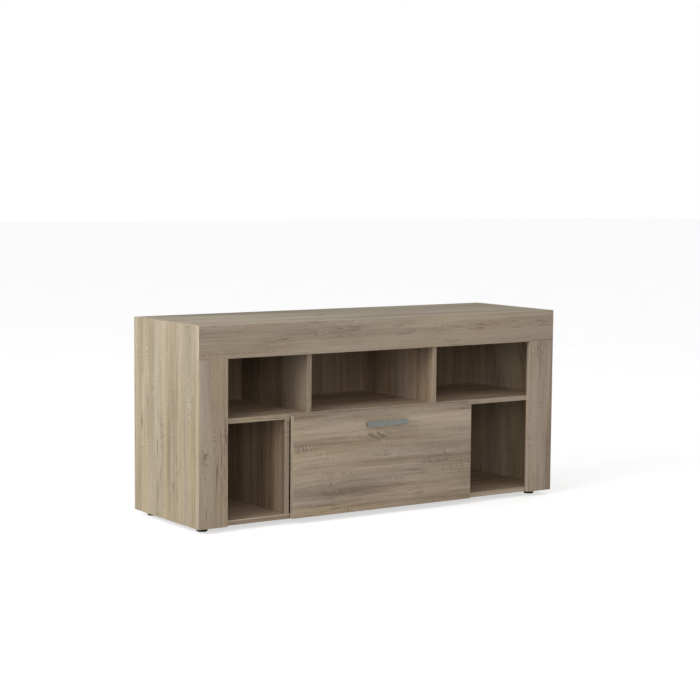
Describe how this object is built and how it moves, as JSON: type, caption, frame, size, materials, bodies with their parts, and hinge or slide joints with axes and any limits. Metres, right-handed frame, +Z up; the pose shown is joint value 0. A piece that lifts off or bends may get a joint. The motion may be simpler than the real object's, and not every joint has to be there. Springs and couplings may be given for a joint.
{
  "type": "tv stand",
  "caption": "Low television stand in light oak-look boards, with open compartments above and at both ends of a central drop-down flap that has a bar handle and sliding stays.",
  "frame": {"origin": "on the floor, under the middle of the whole stand with its handle", "axes": "+Z up, -Y towards the front where the flap opens, +X to the stand's right as the axes are drawn, along its length"},
  "size_m": [1.3, 0.4113, 0.596],
  "materials": {
    "oak_outside": "light oak-look laminate with fine vertical grain, matt",
    "oak_front": "light oak-look laminate with sawn cross marks, matt",
    "oak_inside": "light oak-look laminate, matt",
    "back_board": "thin hardboard with printed oak-look face, matt",
    "handle_metal": "satin, brushed along its length",
    "plated_steel": "zinc plated, satin",
    "bright_steel": "drawn bright steel",
    "screw_steel": "zinc plated",
    "zinc_casting": "die-cast zinc, matt grey",
    "beech": "turned and fluted beech",
    "black_plastic": "moulded, slightly textured",
    "grey_plastic": "moulded, slightly textured",
    "bumper_plastic": "soft translucent pads"
  },
  "bodies": {
    "carcass": {"side_left": "oak_outside", "side_right": "oak_outside", "top_panel": "oak_outside", "bottom_panel": "oak_inside", "middle_shelf": "oak_inside", "upper_divider_left": "oak_inside", "upper_divider_right": "oak_inside", "lower_divider_left": "oak_inside", "lower_divider_right": "oak_inside", "back_panel": "back_board", "fascia": "oak_front", "stile_left": "oak_front", "stile_right": "oak_front", "frame_hinge_leaf_left": "plated_steel", "frame_hinge_leaf_right": "plated_steel", "frame_hinge_screws": "screw_steel", "stay_plate_left": "plated_steel", "stay_plate_right": "plated_steel", "stay_plate_screws": "screw_steel", "magnet_catch": "grey_plastic", "catch_screws": "screw_steel", "foot_front_left": "black_plastic", "foot_front_right": "black_plastic", "foot_back_left": "black_plastic", "foot_back_right": "black_plastic", "foot_screws": "screw_steel", "cam_locks": "zinc_casting", "cam_bolts": "zinc_casting", "dowels": "beech", "divider_screws": "screw_steel", "fascia_brackets": "grey_plastic", "bracket_screws": "screw_steel", "back_nails": "screw_steel"},
    "flap": {"flap_door": "oak_front", "handle": "handle_metal", "handle_screws": "screw_steel", "flap_hinge_leaf_left": "plated_steel", "flap_hinge_leaf_right": "plated_steel", "hinge_pin_left": "bright_steel", "hinge_pin_right": "bright_steel", "flap_hinge_screws": "screw_steel", "stay_bracket_left": "plated_steel", "stay_bracket_right": "plated_steel", "stay_bracket_screws": "screw_steel", "strike_plate": "plated_steel", "strike_screws": "screw_steel", "flap_bumpers": "bumper_plastic"},
    "stay_guide_left": {"stay_guide_left": "black_plastic"},
    "stay_guide_right": {"stay_guide_right": "black_plastic"},
    "stay_rod_left": {"stay_rod_left": "bright_steel"},
    "stay_rod_right": {"stay_rod_right": "bright_steel"}
  },
  "joints": [
    {"name": "flap_hinge", "type": "hinge", "parent": "carcass", "child": "flap", "pos_m": [-0.00825, -0.1795, 0.024], "axis": [1, 0, 0], "range_deg": [0, 90]},
    {"name": "stay_guide_left_pivot", "type": "hinge", "parent": "carcass", "child": "stay_guide_left", "pos_m": [-0.3245, -0.05765, 0.169], "axis": [1, 0, 0], "range_deg": [0, 45]},
    {"name": "stay_guide_right_pivot", "type": "hinge", "parent": "carcass", "child": "stay_guide_right", "pos_m": [0.293, -0.05765, 0.169], "axis": [1, 0, 0], "range_deg": [0, 45]},
    {"name": "stay_rod_left_pivot", "type": "hinge", "parent": "flap", "child": "stay_rod_left", "pos_m": [-0.3245, -0.1565, 0.212], "axis": [1, 0, 0], "range_deg": [-45, 0]},
    {"name": "stay_rod_right_pivot", "type": "hinge", "parent": "flap", "child": "stay_rod_right", "pos_m": [0.293, -0.1565, 0.212], "axis": [1, 0, 0], "range_deg": [-45, 0]}
  ],
  "couplings": [
    {"joint": "stay_guide_left_pivot", "follows": "flap_hinge", "ratio": 0.5},
    {"joint": "stay_guide_right_pivot", "follows": "flap_hinge", "ratio": 0.5},
    {"joint": "stay_rod_left_pivot", "follows": "flap_hinge", "ratio": -0.5},
    {"joint": "stay_rod_right_pivot", "follows": "flap_hinge", "ratio": -0.5}
  ]
}
